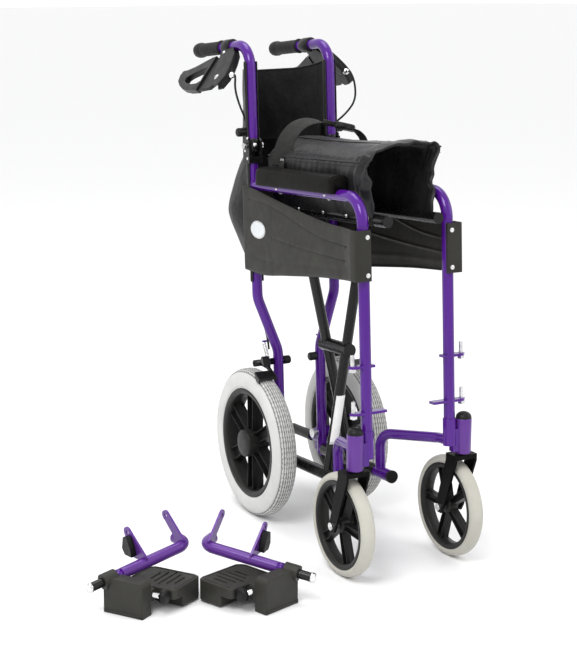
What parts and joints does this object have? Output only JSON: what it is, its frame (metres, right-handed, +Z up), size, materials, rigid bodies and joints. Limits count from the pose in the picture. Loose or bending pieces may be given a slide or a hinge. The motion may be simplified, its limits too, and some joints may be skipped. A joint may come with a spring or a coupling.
{
  "type": "transport wheelchair",
  "caption": "Folding transport wheelchair with companion hand brakes, a folding back and swing-away footrests, stored narrow with the footrests beside it.",
  "frame": {"origin": "bottom centre of the overall box: on the floor, midway between the chair's outermost points and those of its footrests", "axes": "+Z up, +X to the sitter's left, the chair faces -Y"},
  "size_m": [0.8012, 0.8154, 0.9974],
  "materials": {
    "purple_frame": "gloss enamel",
    "black_steel": "satin black",
    "chrome": "bright plated",
    "grey_tyre": "moulded grey rubber",
    "black_plastic": "fine texture",
    "grey_plastic": "fine texture",
    "purple_plastic": "gloss",
    "black_nylon": "woven nylon with a slight sheen",
    "black_cable": "smooth sheath",
    "foam": "moulded grip"
  },
  "bodies": {
    "side_right": {"side_frame_right": "purple_frame", "fasteners_right": "chrome", "end_caps_right": "black_plastic", "side_panel_right": "grey_plastic", "arm_pad_right": "grey_plastic", "cane_hinge_right": "black_steel", "brake_cable_right": "black_cable"},
    "cane_right": {"cane_right": "purple_frame", "grip_right": "foam", "brake_mount_right": "black_steel"},
    "release_right": {"back_release_knob_right": "black_plastic"},
    "lever_right": {"brake_lever_right": "black_plastic"},
    "brake_right": {"brake_arm_right": "black_steel"},
    "fork_right": {"castor_fork_right": "black_steel", "castor_axle_right": "chrome"},
    "castor_right": {"castor_tyre_right": "grey_tyre", "castor_rim_right": "black_plastic"},
    "rear_wheel_right": {"rear_tyre_right": "grey_tyre", "rear_rim_right": "black_plastic"},
    "flap_right": {"seat_flap_right": "black_nylon"},
    "back_low_right": {"back_lower_right": "black_nylon"},
    "back_high_right": {"back_upper_right": "black_nylon"},
    "hanger_right": {"footrest_hanger_right": "purple_frame"},
    "latch_right": {"footrest_latch_right": "black_plastic"},
    "leg_right": {"footrest_tube_right": "chrome", "footplate_bracket_right": "grey_plastic"},
    "plate_right": {"footplate_right": "grey_plastic"},
    "leaf_right": {"seat_leaf_right": "black_nylon"},
    "side_left": {"side_frame_left": "purple_frame", "fasteners_left": "chrome", "end_caps_left": "black_plastic", "side_panel_left": "grey_plastic", "arm_pad_left": "grey_plastic", "cane_hinge_left": "black_steel", "brake_cable_left": "black_cable"},
    "cane_left": {"cane_left": "purple_frame", "grip_left": "foam", "brake_mount_left": "black_steel"},
    "release_left": {"back_release_knob_left": "black_plastic"},
    "lever_left": {"brake_lever_left": "black_plastic"},
    "brake_left": {"brake_arm_left": "black_steel"},
    "fork_left": {"castor_fork_left": "black_steel", "castor_axle_left": "chrome"},
    "castor_left": {"castor_tyre_left": "grey_tyre", "castor_rim_left": "black_plastic"},
    "rear_wheel_left": {"rear_tyre_left": "grey_tyre", "rear_rim_left": "black_plastic"},
    "flap_left": {"seat_flap_left": "black_nylon"},
    "back_low_left": {"back_lower_left": "black_nylon"},
    "back_high_left": {"back_upper_left": "black_nylon"},
    "hanger_left": {"footrest_hanger_left": "purple_frame"},
    "latch_left": {"footrest_latch_left": "black_plastic"},
    "leg_left": {"footrest_tube_left": "chrome", "footplate_bracket_left": "grey_plastic"},
    "plate_left": {"footplate_left": "grey_plastic"},
    "leaf_left": {"seat_leaf_left": "black_nylon", "lap_strap": "black_nylon", "strap_buckle": "black_plastic"},
    "brace_front_body": {"brace_front": "black_steel"},
    "brace_rear_body": {"brace_rear": "black_steel"}
  },
  "joints": [
    {"name": "fold", "type": "hinge", "parent": "side_right", "child": "brace_front_body", "pos_m": [0.18106, -0.1025, 0.13496], "axis": [0, 0.998, -0.0635], "range_deg": [0, 30.5]},
    {"name": "cross_pivot", "type": "hinge", "parent": "brace_front_body", "child": "brace_rear_body", "pos_m": [0.23046, -0.00859, 0.38272], "axis": [0, 0.998, -0.0635], "range_deg": [-61, 0]},
    {"name": "left_pivot", "type": "hinge", "parent": "brace_rear_body", "child": "side_left", "pos_m": [0.27986, -0.02466, 0.13001], "axis": [0, 0.998, -0.0635], "range_deg": [0, 30.5]},
    {"name": "seat_flap_left", "type": "hinge", "parent": "brace_front_body", "child": "flap_left", "pos_m": [0.2856, -0.09343, 0.67136], "axis": [0, 0.998, -0.0635], "range_deg": [-123.5, 0]},
    {"name": "seat_flap_right", "type": "hinge", "parent": "brace_rear_body", "child": "flap_right", "pos_m": [0.17532, -0.09343, 0.67136], "axis": [0, 0.998, -0.0635], "range_deg": [0, 123.5]},
    {"name": "seat_leaf_left", "type": "hinge", "parent": "flap_left", "child": "leaf_left", "pos_m": [0.30479, -0.08536, 0.79828], "axis": [0, 0.998, -0.0635], "range_deg": [0, 93]},
    {"name": "seat_leaf_right", "type": "hinge", "parent": "flap_right", "child": "leaf_right", "pos_m": [0.15613, -0.08536, 0.79828], "axis": [0, 0.998, -0.0635], "range_deg": [-93, 0]},
    {"name": "back_low_right", "type": "hinge", "parent": "side_right", "child": "back_low_right", "pos_m": [0.13776, 0.1386, 0.64869], "axis": [0, 0.0635, 0.998], "range_deg": [-64.38, 0]},
    {"name": "back_high_right", "type": "hinge", "parent": "cane_right", "child": "back_high_right", "pos_m": [0.13776, 0.15256, 0.86824], "axis": [0, 0.0635, 0.998], "range_deg": [-64.38, 0]},
    {"name": "back_low_left", "type": "hinge", "parent": "side_left", "child": "back_low_left", "pos_m": [0.32316, 0.1386, 0.64869], "axis": [0, 0.0635, 0.998], "range_deg": [0, 64.38]},
    {"name": "back_high_left", "type": "hinge", "parent": "cane_left", "child": "back_high_left", "pos_m": [0.32316, 0.15256, 0.86824], "axis": [0, 0.0635, 0.998], "range_deg": [0, 64.38]},
    {"name": "back_fold_right", "type": "hinge", "parent": "side_right", "child": "cane_right", "pos_m": [0.13776, 0.1471, 0.78242], "axis": [-1, 0, 0], "range_deg": [0, 100], "deforming": ["back_lower_right", "back_upper_right", "brake_cable_right"]},
    {"name": "back_fold_left", "type": "hinge", "parent": "side_left", "child": "cane_left", "pos_m": [0.32316, 0.1471, 0.78242], "axis": [-1, 0, 0], "range_deg": [0, 100], "deforming": ["back_lower_left", "back_upper_left", "brake_cable_left"]},
    {"name": "back_release_right", "type": "slide", "parent": "side_right", "child": "release_right", "axis": [-1, 0, 0], "range_m": [0, 0.008], "stiffness_N_per_m": 400},
    {"name": "brake_lever_right", "type": "hinge", "parent": "cane_right", "child": "lever_right", "pos_m": [0.09199, 0.24936, 0.91332], "axis": [0.7985, -0.0584, -0.5992], "range_deg": [0, 10], "stiffness_Nm_per_rad": 0.8},
    {"name": "brake_arm_right", "type": "hinge", "parent": "side_right", "child": "brake_right", "pos_m": [0.13546, 0.11263, 0.327], "axis": [1, 0, 0], "range_deg": [0, 2]},
    {"name": "castor_swivel_right", "type": "hinge", "parent": "side_right", "child": "fork_right", "pos_m": [0.10886, -0.33297, 0.23], "axis": [0, 0, 1], "continuous": true},
    {"name": "castor_roll_right", "type": "hinge", "parent": "fork_right", "child": "castor_right", "pos_m": [0.10886, -0.29277, 0.1015], "axis": [1, 0, 0], "continuous": true},
    {"name": "rear_roll_right", "type": "hinge", "parent": "side_right", "child": "rear_wheel_right", "pos_m": [0.12046, 0.10403, 0.158], "axis": [1, 0, 0], "continuous": true},
    {"name": "footrest_lift_right", "type": "slide", "parent": "side_right", "child": "hanger_right", "axis": [0, 0, 1], "range_m": [0, 0.2]},
    {"name": "footrest_extend_right", "type": "slide", "parent": "hanger_right", "child": "leg_right", "axis": [-0.9662, -0.2142, -0.1432], "range_m": [0, 0.05]},
    {"name": "footrest_latch_right", "type": "hinge", "parent": "hanger_right", "child": "latch_right", "pos_m": [-0.28831, -0.20185, 0.08806], "axis": [0.9662, 0.2142, 0.1432], "range_deg": [0, 20], "stiffness_Nm_per_rad": 0.3},
    {"name": "footplate_flip_right", "type": "hinge", "parent": "leg_right", "child": "plate_right", "pos_m": [-0.31076, -0.2628, 0.034], "axis": [-0.5577, 0.83, 0], "range_deg": [0, 90]},
    {"name": "back_release_left", "type": "slide", "parent": "side_left", "child": "release_left", "axis": [1, 0, 0], "range_m": [0, 0.008], "stiffness_N_per_m": 400},
    {"name": "brake_lever_left", "type": "hinge", "parent": "cane_left", "child": "lever_left", "pos_m": [0.36893, 0.24936, 0.91332], "axis": [0.7985, 0.0584, 0.5992], "range_deg": [0, 10], "stiffness_Nm_per_rad": 0.8},
    {"name": "brake_arm_left", "type": "hinge", "parent": "side_left", "child": "brake_left", "pos_m": [0.32546, 0.11263, 0.327], "axis": [1, 0, 0], "range_deg": [0, 2]},
    {"name": "castor_swivel_left", "type": "hinge", "parent": "side_left", "child": "fork_left", "pos_m": [0.35206, -0.33297, 0.23], "axis": [0, 0, 1], "continuous": true},
    {"name": "castor_roll_left", "type": "hinge", "parent": "fork_left", "child": "castor_left", "pos_m": [0.35206, -0.29277, 0.1015], "axis": [1, 0, 0], "continuous": true},
    {"name": "rear_roll_left", "type": "hinge", "parent": "side_left", "child": "rear_wheel_left", "pos_m": [0.34046, 0.10403, 0.158], "axis": [1, 0, 0], "continuous": true},
    {"name": "footrest_lift_left", "type": "slide", "parent": "side_right", "child": "hanger_left", "axis": [0, 0, 1], "range_m": [0, 0.2]},
    {"name": "footrest_extend_left", "type": "slide", "parent": "hanger_left", "child": "leg_left", "axis": [0.6335, -0.7604, -0.1432], "range_m": [0, 0.05]},
    {"name": "footrest_latch_left", "type": "hinge", "parent": "hanger_left", "child": "latch_left", "pos_m": [-0.06881, -0.2908, 0.08806], "axis": [0.6335, -0.7604, -0.1432], "range_deg": [0, 20], "stiffness_Nm_per_rad": 0.3},
    {"name": "footplate_flip_left", "type": "hinge", "parent": "leg_left", "child": "plate_left", "pos_m": [-0.08831, -0.35276, 0.034], "axis": [-0.9489, -0.3156, 0], "range_deg": [0, 90]}
  ],
  "couplings": [
    {"joint": "cross_pivot", "follows": "fold", "ratio": -2},
    {"joint": "left_pivot", "follows": "fold", "ratio": 1},
    {"joint": "seat_flap_left", "follows": "fold", "ratio": -4.0492},
    {"joint": "seat_flap_right", "follows": "fold", "ratio": 4.0492},
    {"joint": "seat_leaf_left", "follows": "fold", "ratio": 3.0492},
    {"joint": "seat_leaf_right", "follows": "fold", "ratio": -3.0492},
    {"joint": "back_low_right", "follows": "fold", "ratio": -2.1109},
    {"joint": "back_high_right", "follows": "fold", "ratio": -2.1109},
    {"joint": "back_low_left", "follows": "fold", "ratio": 2.1109},
    {"joint": "back_high_left", "follows": "fold", "ratio": 2.1109},
    {"joint": "back_fold_left", "follows": "back_fold_right", "ratio": 1},
    {"joint": "brake_arm_right", "follows": "brake_lever_right", "ratio": 0.2},
    {"joint": "brake_arm_left", "follows": "brake_lever_left", "ratio": 0.2}
  ]
}
